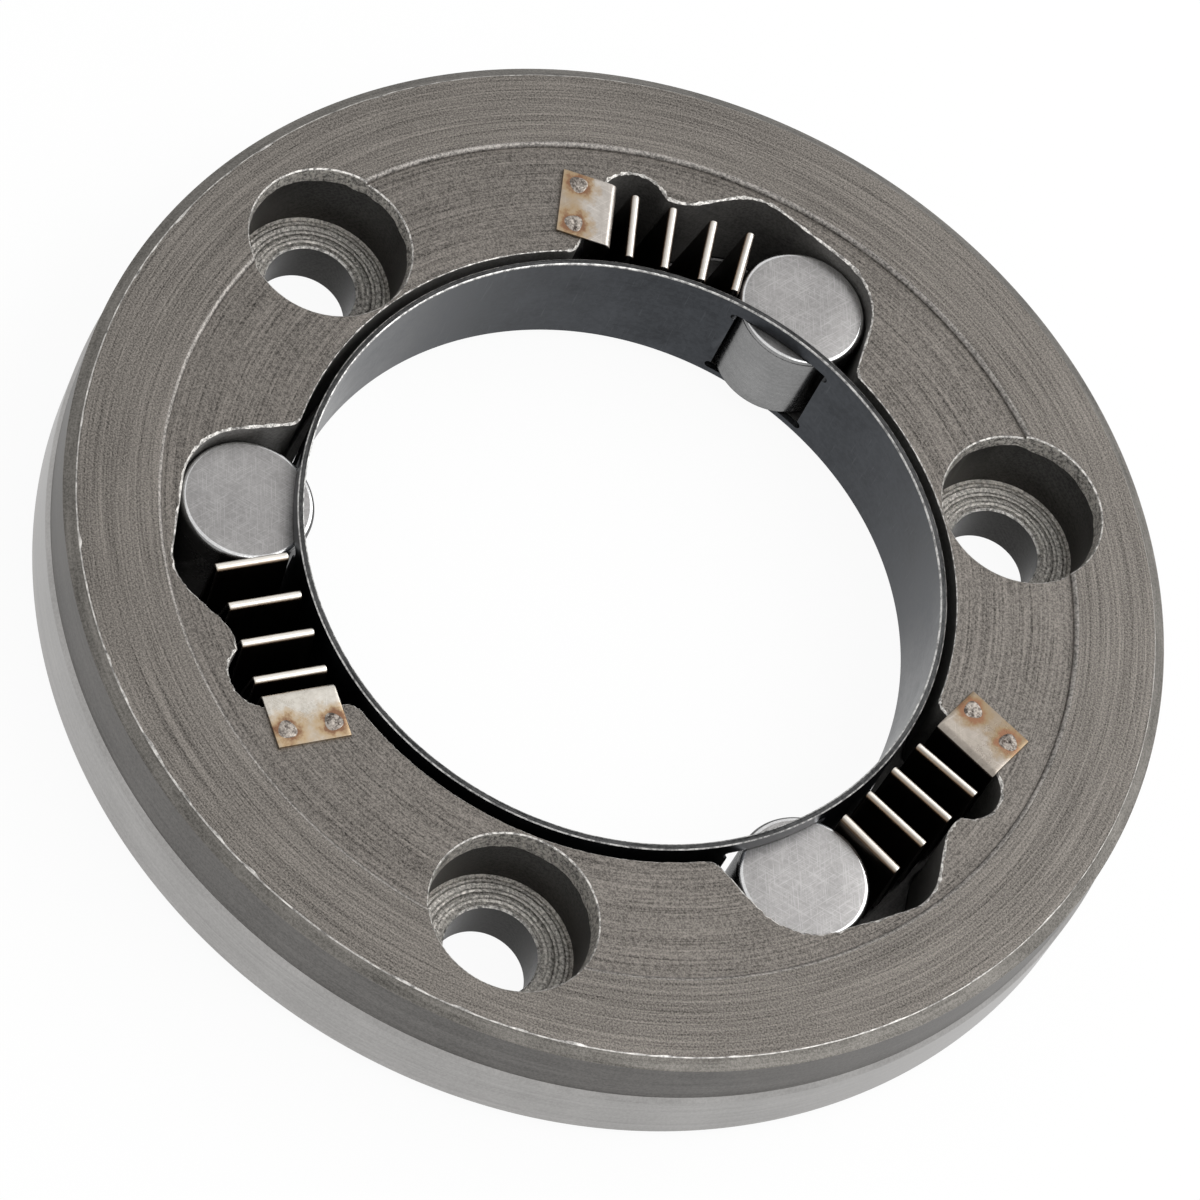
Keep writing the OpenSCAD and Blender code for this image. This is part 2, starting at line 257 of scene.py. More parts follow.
def add_node(tree, kind, inputs=None, **settings):
    """A shader node. An input is a plain value that is set, or another node's output to link."""
    node = tree.nodes.new(kind)
    for key, value in settings.items():
        setattr(node, key, value)
    for key, value in (inputs or {}).items():
        if isinstance(value, bpy.types.NodeSocket):
            tree.links.new(value, node.inputs[key])
        else:
            node.inputs[key].default_value = value
    return node


def group_tree(name, numbers, outputs):
    """An empty shader group that takes a place and numbers, and gives masks. Returns its tree and
    both ends."""
    tree = bpy.data.node_groups.new(name, "ShaderNodeTree")
    tree.interface.new_socket("Place", in_out="INPUT", socket_type="NodeSocketVector")
    for key, value in numbers.items():
        socket = tree.interface.new_socket(key, in_out="INPUT", socket_type="NodeSocketFloat")
        socket.default_value = value
    for key in outputs:
        tree.interface.new_socket(key, in_out="OUTPUT", socket_type="NodeSocketFloat")
    return tree, tree.nodes.new("NodeGroupInput"), tree.nodes.new("NodeGroupOutput")


def math_node(tree, operation, *values, clamp=False):
    """A math node's output."""
    return add_node(tree, "ShaderNodeMath", dict(enumerate(values)), operation=operation,
                    use_clamp=clamp).outputs[0]


def ranged(tree, value, low, high, out_low=0.0, out_high=1.0):
    """A value stretched from one range to another and held there."""
    return add_node(tree, "ShaderNodeMapRange",
                    {0: value, 1: low, 2: high, 3: out_low, 4: out_high}).outputs[0]


def turning_marks_group():
    """Marks of a lathe tool: noise that is fine across the radius and long round the axis. It is
    read at (radius plus a share of the height, direction), where the direction is the place
    divided by the radius."""
    tree, start, end = group_tree("turning_marks", {"Across": 5.0, "Along": 8.0}, ["Marks"])
    place = add_node(tree, "ShaderNodeSeparateXYZ", {0: start.outputs["Place"]})
    radius = math_node(tree, "SQRT", math_node(
        tree, "ADD", math_node(tree, "MULTIPLY", place.outputs[0], place.outputs[0]),
        math_node(tree, "MULTIPLY", place.outputs[1], place.outputs[1])))
    radius = math_node(tree, "ADD", radius, 1e-4)
    sides = [math_node(tree, "MULTIPLY", math_node(tree, "DIVIDE", place.outputs[k], radius),
                       start.outputs["Along"]) for k in (0, 1)]
    lift = math_node(tree, "ADD", radius, math_node(tree, "MULTIPLY", place.outputs[2], 0.7))
    across = math_node(tree, "MULTIPLY", lift, start.outputs["Across"])
    where = add_node(tree, "ShaderNodeCombineXYZ", {0: across, 1: sides[0], 2: sides[1]})
    noise = add_node(tree, "ShaderNodeTexNoise",
                     {"Vector": where.outputs[0], "Scale": 1.0, "Detail": 5.0, "Roughness": 0.72})
    tree.links.new(ranged(tree, noise.outputs[0], 0.34, 0.66), end.inputs["Marks"])
    return tree


def grain_group():
    """Peppery grain of bead-blasted or worn steel, and the slow clouding of a handled face: fine
    noise and coarse noise of the place."""
    tree, start, end = group_tree("grain", {"Size": 4.0}, ["Grain", "Cloud"])
    fine = add_node(tree, "ShaderNodeTexNoise", {
        "Vector": start.outputs["Place"], "Scale": start.outputs["Size"],
        "Detail": 4.0, "Roughness": 0.75})
    slow = add_node(tree, "ShaderNodeTexNoise", {
        "Vector": start.outputs["Place"], "Scale": 0.16, "Detail": 3.0, "Roughness": 0.55})
    tree.links.new(ranged(tree, fine.outputs[0], 0.41, 0.59), end.inputs["Grain"])
    tree.links.new(ranged(tree, slow.outputs[0], 0.3, 0.7), end.inputs["Cloud"])
    return tree


def scratches_group():
    """Fine straight scratches: in three directions, noise that is long one way and narrow the
    other, of which only the highest crests are kept."""
    tree, start, end = group_tree("scratches", {"Fine": 6.0, "Kept": 0.66}, ["Scratches"])
    total = None
    for turn, seed in ((0.35, 3.0), (1.45, 17.0), (2.4, 41.0)):
        way = add_node(tree, "ShaderNodeMapping", {
            0: start.outputs["Place"], 1: (seed, seed, 0.0), 2: (0.0, 0.0, turn),
            3: (9.0, 0.3, 9.0)}, vector_type="TEXTURE")
        lines = add_node(tree, "ShaderNodeTexNoise", {
            "Vector": way.outputs[0], "Scale": start.outputs["Fine"],
            "Detail": 1.0, "Roughness": 0.5})
        crest = math_node(tree, "MULTIPLY", math_node(
            tree, "SUBTRACT", lines.outputs[0], start.outputs["Kept"]), 12.0, clamp=True)
        total = crest if total is None else math_node(tree, "MAXIMUM", total, crest)
    tree.links.new(total, end.inputs["Scratches"])
    return tree


TURNING_MARKS, GRAIN, SCRATCHES = turning_marks_group(), grain_group(), scratches_group()


def use_group(tree, group, **values):
    """A group placed in a material with its own values."""
    return add_node(tree, "ShaderNodeGroup", values, node_tree=group)


def mixed(tree, factor, first, second):
    """A colour between two others, each three numbers or another node's output."""
    ends = [colour if isinstance(colour, bpy.types.NodeSocket) else (*colour, 1.0)
            for colour in (first, second)]
    return add_node(tree, "ShaderNodeMix", {0: factor, 6: ends[0], 7: ends[1]},
                    data_type="RGBA").outputs[2]


def steel_parts(name, dark, light, rough, marks=0.5, grain=0.3, cloud=0.2, across=5.0, along=8.0,
                size=4.0, scratch=0.0, fine=6.0, kept=0.66, relief=0.006, own=False, metal=1.0):
    """A steel finish. Its tone runs from dark to light by the marks, grain and cloud, in the shares
    given; scratches lighten it; the same tone sets the roughness and a slight relief, in mm. A
    piece that moves on its own reads its own attribute in place of the object's coordinates.
    Gives the material, its tree, its shader, its colour, and where it reads the place."""
    material = bpy.data.materials.new(name)
    material.use_nodes = True
    tree = material.node_tree
    shader = tree.nodes["Principled BSDF"]
    if own:
        place = add_node(tree, "ShaderNodeAttribute", attribute_name="own_place").outputs["Vector"]
    else:
        object_place = add_node(tree, "ShaderNodeTexCoord").outputs["Object"]
        place = add_node(tree, "ShaderNodeVectorMath", {0: object_place, "Scale": 1 / MM},
                         operation="SCALE").outputs[0]
    lathe_marks = use_group(tree, TURNING_MARKS, Place=place, Across=across, Along=along)
    pepper = use_group(tree, GRAIN, Place=place, Size=size)
    tone = math_node(tree, "MULTIPLY", lathe_marks.outputs["Marks"], marks)
    tone = math_node(tree, "MULTIPLY_ADD", pepper.outputs["Grain"], grain, tone)
    tone = math_node(tree, "MULTIPLY_ADD", pepper.outputs["Cloud"], cloud, tone)
    colour = mixed(tree, tone, dark, light)
    if scratch:
        lines = use_group(tree, SCRATCHES, Place=place, Fine=fine, Kept=kept)
        amount = math_node(tree, "MULTIPLY", lines.outputs["Scratches"], scratch)
        colour = mixed(tree, amount, colour, tuple(min(1.0, 1.8 * c + 0.06) for c in light))
        tone = math_node(tree, "MULTIPLY_ADD", lines.outputs["Scratches"], -0.5 * scratch, tone)
    tree.links.new(colour, shader.inputs["Base Color"])
    tree.links.new(ranged(tree, tone, 0.0, 1.0, rough - 0.08, rough + 0.08),
                   shader.inputs["Roughness"])
    shader.inputs["Metallic"].default_value = metal
    bump = add_node(tree, "ShaderNodeBump", {
        "Height": tone, "Strength": 1.0, "Distance": relief * MM})
    tree.links.new(bump.outputs[0], shader.inputs["Normal"])
    return material, tree, shader, colour, place


def steel(*values, **more):
    """A steel finish that is used as it is."""
    return steel_parts(*values, **more)[0]


RING_FINISHES = [
    steel("ring_outer_face", (0.012, 0.011, 0.01), (0.264, 0.242, 0.219), 0.5, 0.5, 0.52, 0.06,
          across=5.0, along=2.2, size=6.0, scratch=0.1, fine=1.3, kept=0.72, relief=0.014),
    steel("ring_inner_face", (0.012, 0.011, 0.01), (0.257, 0.235, 0.213), 0.52, 0.48, 0.52, 0.06,
          across=4.6, along=2.2, size=6.0, scratch=0.1, fine=1.3, kept=0.72, relief=0.014),
    steel("ring_side_dull", (0.08, 0.076, 0.072), (0.215, 0.207, 0.198), 0.5, 0.4, 0.4, 0.2,
          across=3.0, along=3.0, relief=0.006),
    steel("ring_side_ground", (0.26, 0.253, 0.246), (0.48, 0.47, 0.46), 0.36, 0.4, 0.25, 0.2,
          across=4.0, along=3.0, relief=0.003),
    steel("ring_chamfer", (0.045, 0.0425, 0.038), (0.25, 0.236, 0.217), 0.46, 0.45, 0.35, 0.2,
          across=4.0, along=4.0, size=5.0, relief=0.02),
    # The broken edges are near-white and partly diffuse: partly the bright metal of a broken edge,
    # partly a painted highlight along the edges
    steel("ring_broken_edge_and_painted_highlight", (0.1, 0.095, 0.09), (1.0, 0.97, 0.92), 0.36, 0.2, 0.8, 0.1,
          across=4.0, along=30.0, size=2.2, relief=0.02, metal=0.6),
    steel("ring_pocket_wall", (0.05, 0.048, 0.045), (0.24, 0.232, 0.22), 0.42, 0.2, 0.4, 0.4,
          relief=0.006, metal=0.4),
    steel("ring_pocket_floor", (0.04, 0.04, 0.04), (0.14, 0.135, 0.13), 0.45, 0.5, 0.3, 0.2,
          relief=0.008),
    steel("ring_counterbore_mouth", (0.07, 0.067, 0.062), (0.7, 0.665, 0.61), 0.45, 0.1, 0.75, 0.15,
          size=3.0, relief=0.06, metal=0.7),
    # The counterbore's wall and the screw hole's wall are near-black steel: painted shade down
    # inside the holes
    steel("ring_counterbore_wall", (0.018, 0.0175, 0.017), (0.1, 0.097, 0.092), 0.45, 0.3, 0.5, 0.2,
          relief=0.01),
    steel("ring_counterbore_floor", (0.07, 0.066, 0.06), (0.75, 0.715, 0.66), 0.42, 0.15, 0.6, 0.25,
          size=3.4, relief=0.035, metal=0.8),
    steel("ring_hole_wall", (0.01, 0.0098, 0.0095), (0.045, 0.0435, 0.042), 0.42, 0.3, 0.4, 0.3,
          relief=0.006),
    steel("ring_back_face", (0.1, 0.096, 0.091), (0.38, 0.365, 0.35), 0.46, 0.5, 0.4, 0.1,
          across=3.6, along=6.0, relief=0.01),
    steel("ring_step", (0.045, 0.043, 0.04), (0.4, 0.375, 0.35), 0.48, 0.3, 0.6, 0.1,
          across=3.0, along=12.0, relief=0.01),
    steel("ring_nicked_edge", (0.02, 0.019, 0.017), (0.75, 0.725, 0.69), 0.4, 0.75, 0.4, 0.0,
          across=2.0, along=36.0, size=1.6, relief=0.02, metal=0.6),
]
(OUTER_FACE, INNER_FACE, SIDE_DULL, SIDE_GROUND, CHAMFER, BROKEN_EDGE, POCKET_WALL, POCKET_FLOOR,
 MOUTH, COUNTERBORE_WALL, COUNTERBORE_FLOOR, HOLE_WALL, BACK_FACE, STEP, NICKED_EDGE) = range(15)

# The blank, as a section with the finish of each band that follows a point
roll = np.radians(np.linspace(90, 0, 9))
rolled = [(STEP_R + STEP_ROUND * (1 - np.cos(a)), INNER_FACE_Z + STEP_ROUND * np.sin(a), STEP)
          for a in roll[:-1]]
ring_section = [
    (WEB_BORE_R + BACK_CHAMFER, 0.0, BACK_FACE), (RING_R - BACK_CHAMFER, 0.0, CHAMFER),
    (RING_R, BACK_CHAMFER, SIDE_GROUND), (RING_R, GROUND_TOP_Z, SIDE_GROUND),
    (RING_R - 0.05, GROUND_TOP_Z + 0.15, SIDE_GROUND), (UPPER_R, SHOULDER_Z, SIDE_DULL),
    (UPPER_R, CHAMFER_LOW_Z, CHAMFER), (CHAMFER_R, RING_T - CHAMFER_DROP, NICKED_EDGE),
    (CHAMFER_R - EDGE_W, RING_T, OUTER_FACE), *rolled, (STEP_R, INNER_FACE_Z, INNER_FACE),
    (WEB_BORE_R, INNER_FACE_Z, POCKET_WALL), (WEB_BORE_R, BACK_CHAMFER, CHAMFER),
]
bands = [point[2] for point in ring_section]
blank = lathe([point[:2] for point in ring_section], steps=RING_STEPS)
# Nicks widen the bright edge between the chamfer and the outer face, mostly between the first hole
# and the second: a wave that has one crest round the ring, times smooth noise
nicked = bands.index(OUTER_FACE)
round_ring = np.linspace(0, 2 * np.pi, RING_STEPS, endpoint=False)
worn = 0.5 + 0.5 * np.cos(round_ring - np.radians(NICKED_TURN))
nicks = worn * (0.0016 + 0.0035 * np.clip(wavering(RING_STEPS, 2, 9) - 0.2, 0, 1.2))
blank[nicked, :, :2] *= 1 - nicks[:, None]
ring = shell("ring", [(blank, bands)], RING_FINISHES, loop=True)

# The hollow of bore and pockets, with a small radius at the floor and a broken edge at the top
third, into_metal, edge = pocket_outline()
hollow = np.concatenate([to_clutch(third, a) for a in THIRDS])
into_metal = np.concatenate([turned(into_metal, PUSH_TURN + ROLLER_TURN + a) for a in THIRDS])
edge = np.tile(edge, 3)
edge = edge * np.clip(1 + 0.45 * wavering(len(edge), 2, 5), 0.3, 1.9)
# Each level is how far it stands off the outline, and its height; None takes the edge's own width
offsets = [(-0.25, WEB_T), (-0.07, WEB_T + 0.07), (0.0, WEB_T + 0.25), (0.0, None),
           (None, INNER_FACE_Z), (None, ABOVE_Z)]
levels = []
for offset, height in offsets:
    spread = edge if offset is None else np.full(len(edge), offset)
    rise = INNER_FACE_Z - edge if height is None else np.full(len(edge), height)
    levels.append(np.column_stack([hollow + spread[:, None] * into_metal, rise]))
hollow_bands = [POCKET_FLOOR, POCKET_FLOOR, POCKET_WALL, BROKEN_EDGE, BROKEN_EDGE]
cutters = [shell("hollow", [(np.stack(levels), hollow_bands)], RING_FINISHES, cap=True)]

# The screw holes: tool rings in the floor of the counterbore, and a torn mouth that widens from
# the wall to the face, where its lip is broken
floor_r = np.linspace(BOLT_HOLE_R + 0.18, COUNTERBORE_R - 0.2, FLOOR_RINGS)
floor_z = COUNTERBORE_Z + 0.03 * np.sin(floor_r * 13.0) + 0.035 * np.sin(floor_r * 5.1)
hole_section = [
    (0.0, BELOW_Z), (BOLT_HOLE_R + HOLE_CHAMFER, BELOW_Z), (BOLT_HOLE_R + HOLE_CHAMFER, 0.0),
    (BOLT_HOLE_R, HOLE_CHAMFER), (BOLT_HOLE_R, COUNTERBORE_Z - 0.18), *zip(floor_r, floor_z),
    (COUNTERBORE_R, COUNTERBORE_Z + 0.2), (COUNTERBORE_R, None), (MOUTH_R - 0.03, None),
    (MOUTH_R + MOUTH_EDGE, None), (MOUTH_R + MOUTH_EDGE, ABOVE_Z), (0.0, ABOVE_Z),
]
hole_bands = ([HOLE_WALL] * 4 + [BROKEN_EDGE] + [COUNTERBORE_FLOOR] * FLOOR_RINGS
              + [COUNTERBORE_WALL, MOUTH] + [BROKEN_EDGE] * 3)
TORN, UNDER_LIP, AT_LIP = -5, -4, -3
for number, a in enumerate(THIRDS):
    centre = turned([[BOLT_CIRCLE_R, 0.0]], a)[0]
    torn_z = INNER_FACE_Z - MOUTH_DEPTHS[number]
    grid = lathe([(r, torn_z if z is None else z) for r, z in hole_section], centre, HOLE_STEPS)
    lip = face_height(grid[AT_LIP, :, 0], grid[AT_LIP, :, 1]) + 0.004
    grid[AT_LIP, :, 2] = lip
    grid[UNDER_LIP, :, 2] = lip - 0.13
    grid[TORN, :, 2] += 0.15 * wavering(HOLE_STEPS, 4, number)
    cutters.append(shell(f"hole_{number + 1}", [(grid, hole_bands)], RING_FINISHES))
cut(ring, cutters)
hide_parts("clutch_ring")
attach(ring, "ring")


# The cage. It is a thin sleeve of blued sheet steel that stands in the bore and turns with the
# rollers, which look through its three windows at the hub. Its rims are rubbed bright.
CAGE_R, CAGE_WALL, CAGE_LOW_Z, CAGE_TOP_Z = 29.5, 0.6, 1.4, 12.9
WINDOW_TURN, WINDOW_HALF, WINDOW_LOW_Z, WINDOW_TOP_Z, RELIEF_R = -76.7, 4.8, 2.15, 11.25, 0.45
WINDOW_IN_R, WINDOW_OUT_R = 27.0, 31.0
CAGE_FINISHES = [
    steel("cage_wall", (0.02, 0.022, 0.0255), (0.06, 0.065, 0.073), 0.34, 0.15, 0.25, 0.6,
          size=2.0, scratch=0.12, fine=2.5, kept=0.7, relief=0.003),
    steel("cage_rim", (0.008, 0.0085, 0.009), (0.08, 0.08, 0.08), 0.34, 0.7, 0.35, 0.05,
          across=5.0, along=5.0, size=3.0, relief=0.012),
    steel("cage_window_edge", (0.02, 0.021, 0.023), (0.08, 0.082, 0.086), 0.4, 0.2, 0.5, 0.3),
    steel("cage_rubbed_edge", (0.06, 0.06, 0.062), (0.75, 0.74, 0.72), 0.34, 0.3, 0.6, 0.1,
          across=4.0, along=8.0, size=2.0, relief=0.01),
]
CAGE_FACE, CAGE_RIM, WINDOW_EDGE, RUBBED = range(4)
inside_r = CAGE_R - CAGE_WALL
cage_section = [
    (inside_r + 0.1, CAGE_LOW_Z, CAGE_RIM), (CAGE_R - 0.1, CAGE_LOW_Z, CAGE_RIM),
    (CAGE_R, CAGE_LOW_Z + 0.1, CAGE_FACE), (CAGE_R, CAGE_TOP_Z - 0.1, RUBBED),
    (CAGE_R - 0.1, CAGE_TOP_Z, CAGE_RIM), (inside_r + 0.13, CAGE_TOP_Z, RUBBED),
    (inside_r + 0.03, CAGE_TOP_Z - 0.06, RUBBED), (inside_r, CAGE_TOP_Z - 0.16, CAGE_FACE),
    (inside_r, CAGE_LOW_Z + 0.1, CAGE_RIM),
]
sleeve = lathe([point[:2] for point in cage_section], steps=360)
cage = shell("cage", [(sleeve, [point[2] for point in cage_section])], CAGE_FINISHES, loop=True)
# A window is a box with a round relief at each corner
low_z, high_z = WINDOW_LOW_Z + RELIEF_R, WINDOW_TOP_Z - RELIEF_R
reliefs = [(WINDOW_HALF, low_z, -90, 90), (WINDOW_HALF, high_z, -90, 90),
           (-WINDOW_HALF, high_z, 90, 270), (-WINDOW_HALF, low_z, 90, 270)]
window = np.concatenate([arc((x, z), RELIEF_R, a0, a1, 20, 1)[0] for x, z, a0, a1 in reliefs])
cutters = []
for number, a in enumerate(THIRDS + WINDOW_TURN):
    ends = [np.column_stack([turned(np.column_stack([np.full(len(window), r), window[:, 0]]), a),
                             window[:, 1]]) for r in (WINDOW_IN_R, WINDOW_OUT_R)]
    cutters.append(shell(f"window_{number + 1}", [(np.stack(ends), WINDOW_EDGE)], CAGE_FINISHES,
                         cap=True))
cut(cage, cutters)
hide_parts("retainer_cage")
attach(cage, "cage")


# The rollers. They are hardened bearing steel, ground on the side and lapped on the ends, with
# rounded edges. Each stands on the pocket floor and wedges between its ramp and the hub.
ROLLER_R, ROLLER_L, ROLLER_Z, ROLLER_EDGE = 6.0, 8.8, 2.3, 0.5
END_R, PATTERNS_APART = 3.0, 7.0
side_steel, _, side_shader, _, _ = steel_parts(
    "roller_side", (0.19, 0.19, 0.19), (0.33, 0.33, 0.33), 0.24, 0.3, 0.3, 0.4,
    across=3.0, along=2.0, relief=0.002, own=True)
side_shader.inputs["Specular Tint"].default_value = (0.4, 0.4, 0.4, 1.0)
ROLLER_FINISHES = [
    steel("roller_end", (0.225, 0.219, 0.216), (0.41, 0.4, 0.395), 0.42, 0.0, 0.24, 0.32, size=3.0,
          scratch=0.13, fine=3.4, kept=0.58, relief=0.004, own=True),
    # The rounded edges are much lighter than the side and the ends: a painted highlight round each
    # edge
    steel("roller_edge_painted_highlight", (0.5, 0.5, 0.5), (0.8, 0.8, 0.8), 0.2, 0.3, 0.3, 0.4,
          relief=0.003, own=True),
    side_steel,
]
ROLLER_END, ROLLER_ROUND, ROLLER_SIDE = range(3)
# The section runs from the middle of the top end, round both edges, to the middle of the low end
edge_turn = np.radians(np.linspace(90, 0, 7))
edge_out = ROLLER_R - ROLLER_EDGE + ROLLER_EDGE * np.cos(edge_turn)
edge_in = ROLLER_EDGE * (1 - np.sin(edge_turn))
top_z = ROLLER_Z + ROLLER_L
roller_section = [
    (0.0, top_z), (END_R, top_z), *zip(edge_out, top_z - edge_in),
    *zip(edge_out[::-1], ROLLER_Z + edge_in[::-1]), (END_R, ROLLER_Z), (0.0, ROLLER_Z),
]
roller_bands = ([ROLLER_END] * 2 + [ROLLER_ROUND] * 2 + [ROLLER_SIDE] * 9 + [ROLLER_ROUND] * 2
                + [ROLLER_END] * 2)
# Each roller reads its pattern by its own place, further along than the one before, so that the
# pattern goes with it and no two look alike
for number, a in enumerate(THIRDS):
    centre = turned([[ROLLER_CIRCLE_R, 0.0]], ROLLER_TURN + a)[0]
    grid = lathe(roller_section, centre, 128)
    roller = shell(f"roller_{number + 1}_piece", [(grid, roller_bands)], ROLLER_FINISHES,
                   sharp=30.0)
    place = np.empty(len(roller.data.vertices) * 3)
    roller.data.vertices.foreach_get("co", place)
    own = place.reshape(-1, 3) / MM - [*centre, ROLLER_Z - PATTERNS_APART * number]
    roller.data.attributes.new("own_place", "FLOAT_VECTOR", "POINT").data.foreach_set(
        "vector", own.ravel())
    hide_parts(f"roller_{number + 1}")
    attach(roller, f"roller_{number + 1}")


# The springs. Each is one strip of spring steel, folded four times like an accordion. Its tab lies
# on the ring and is spot-welded there, and its last leg pushes the roller. The tab stays put while
# the folds are squeezed, so they are two pieces that meet at the tab's bend.
# The strip's places along x and outward are in the pocket's frame
STRIP_T, STRIP_W, STRIP_OUT = 0.3, 6.65, 1.95
FOLD_PITCH, FOLD_R, TAB_BEND_R, TAB_L = 3.62, 0.28, 0.5, 5.2
LAST_LEG_X, FIRST_FOLD_X, FOLD_TOP_Z, FOLD_LOW_Z = -6.18, -17.32, 12.01, 2.93
TAB_EDGE_X, TAB_SHIFTS = -19.67, (0.8, 0.4, 0.0)
WELD_BACK, WELD_HALF_GAP = 3.7, 2.1
TAB_POINTS, ACROSS_POINTS = 40, 24
# How far each spring's tab and four folds stand off their even places in mm, and are turned
FOLD_SHIFTS = ((0.0, 0.34, 0.2, 0.28, 0.0), (0.0, -0.3, -0.3, -0.25, -0.05),
               (0.0, 0.0, 0.0, 0.0, 0.0))
FOLD_TURNS = ((5.0, 5.5, 3.0, 0.0, -3.0), (0.0, 0.0, 0.0, 0.0, 0.0), (0.0, 2.5, 1.3, 0.0, -2.5))


def strip_line(tab_edge_x):
    """The strip's middle line seen from the side, as flat points and unit vectors to its left: the
    tab, its bend, then a bend at each bottom and top fold, each tangent to the leg before it. Also
    gives where the tab's bend ends and the middles of the top folds, as point numbers."""
    rise, half = FOLD_TOP_Z - FOLD_LOW_Z, FOLD_PITCH / 2
    lean = np.degrees(np.arctan(half / rise) - np.arcsin(2 * FOLD_R / np.hypot(half, rise)))
    tab_z = INNER_FACE_Z + STRIP_T / 2
    tab_c = np.array([tab_edge_x - STRIP_T / 2 - TAB_BEND_R, tab_z - TAB_BEND_R])
    first_low = np.array([FIRST_FOLD_X - half, FOLD_LOW_Z])
    leg = tab_c - first_low
    leg_a = angle_of(leg) + np.degrees(np.arccos((TAB_BEND_R + FOLD_R) / np.linalg.norm(leg)))
    flat = np.linspace(tab_edge_x - TAB_L, tab_c[0], TAB_POINTS)[:-1]
    runs = [(np.column_stack([flat, np.full(len(flat), tab_z)]),
             np.tile([0.0, 1.0], (len(flat), 1)))]
    points, out = arc(tab_c, TAB_BEND_R, 90, leg_a - 180, 6)
    runs.append((points, -out))
    tab_end = len(flat) + len(points) - 1
    tops, count = [], tab_end + 1
    for k in range(4):
        x = FIRST_FOLD_X + k * FOLD_PITCH
        for centre, a0, a1 in (((x - half, FOLD_LOW_Z), 180 + lean if k else leg_a, 360 - lean),
                               ((x, FOLD_TOP_Z), 180 - lean, lean if k < 3 else 0)):
            points, out = arc(centre, FOLD_R, a0, a1, 12)
            runs.append((points, -out))
            if a1 < a0:
                tops.append(count + len(points) // 2)
            count += len(points)
    runs.append((np.array([[LAST_LEG_X, FOLD_LOW_Z]]), np.array([[1.0, 0.0]])))
    return (np.concatenate([run[0] for run in runs]), np.concatenate([run[1] for run in runs]),
            tab_end, tops)


def strip_section():
    """The strip's section as places across its width and thickness: a flat bar with round edges."""
    r, half_w, half_t = 0.1, STRIP_W / 2, STRIP_T / 2
    corners = ((1, 1, 90, 0), (1, -1, 0, -90), (-1, -1, -90, -180), (-1, 1, 180, 90))
    turns = [arc((sx * (half_w - r), sz * (half_t - r)), r, a0, a1, 30, 1)[0]
             for sx, sz, a0, a1 in corners]
    across = np.linspace(-half_w + r, half_w - r, ACROSS_POINTS)[1:-1]
    low = np.column_stack([across[::-1], np.full(len(across), -half_t)])
    top = np.column_stack([across, np.full(len(across), half_t)])
    return np.concatenate([turns[0], turns[1], low, turns[2], turns[3], top])


def spring_steel(name, dull, bright, tint):
    """Spring steel with straw and brown heat tint in rings round the two welds, a brown band down
    the flank of each top fold, painted shade that darkens the legs between the folds, and a painted
    highlight along the top folds. The strip attribute holds the place along the strip from the
    tab's end, the place across it, and the distance from a top fold."""
    material, tree, shader, colour, place = steel_parts(
        name, dull, bright, 0.33, 0.0, 0.3, 0.55, size=1.4, scratch=0.15, fine=2.5, kept=0.64,
        relief=0.004)
    strip = add_node(tree, "ShaderNodeAttribute", attribute_name="strip_place")
    part = add_node(tree, "ShaderNodeSeparateXYZ", {0: strip.outputs["Vector"]})
    ragged = add_node(tree, "ShaderNodeTexNoise", {
        "Vector": place, "Scale": 1.1, "Detail": 4.0, "Roughness": 0.65}).outputs[0]
    along, across, from_fold = part.outputs
    on_strip = add_node(tree, "ShaderNodeCombineXYZ", {0: along, 1: across}).outputs[0]
    spots = [add_node(tree, "ShaderNodeVectorMath", {0: on_strip, 1: (TAB_L - WELD_BACK, gap, 0.0)},
                      operation="DISTANCE").outputs["Value"]
             for gap in (-WELD_HALF_GAP, WELD_HALF_GAP)]
    near = math_node(tree, "ADD", math_node(tree, "MINIMUM", *spots),
                     math_node(tree, "MULTIPLY_ADD", ragged, 2.4, -1.2))
    straw = ranged(tree, near, 2.2, 1.3, 0.0, 0.9)
    brown = ranged(tree, near, 1.4, 0.9, 0.0, 0.9)
    back_edge = ranged(tree, math_node(tree, "MULTIPLY_ADD", ragged, 1.2, along),
                       3.4, 2.3, 0.0, 0.6)
    flank = ranged(tree, from_fold, 0.16, 0.28, 0.0, 0.85)
    # Painted shade: away from the top folds the legs turn nearly black, standing in for the shade
    # between the close folds
    leg = ranged(tree, from_fold, 0.28, 0.5, 0.0, 0.97)
    colour = mixed(tree, back_edge, colour, (0.4 * tint, 0.3 * tint, 0.19 * tint))
    colour = mixed(tree, straw, colour, (0.46 * tint, 0.33 * tint, 0.19 * tint))
    colour = mixed(tree, brown, colour, (0.2, 0.1, 0.06))
    colour = mixed(tree, flank, colour, (0.22, 0.14, 0.08))
    # The painted shade down the legs
    colour = mixed(tree, leg, colour, (0.035, 0.03, 0.027))
    # Painted highlight: a bright line along the top of each fold, fading in past the tab's bend
    crest = math_node(tree, "MULTIPLY", ranged(tree, from_fold, 0.15, 0.06, 0.0, 0.85),
                      ranged(tree, along, 6.5, 7.5))
    colour = mixed(tree, crest, colour, (0.8, 0.76, 0.7))
    tree.links.new(colour, shader.inputs["Base Color"])
    return material
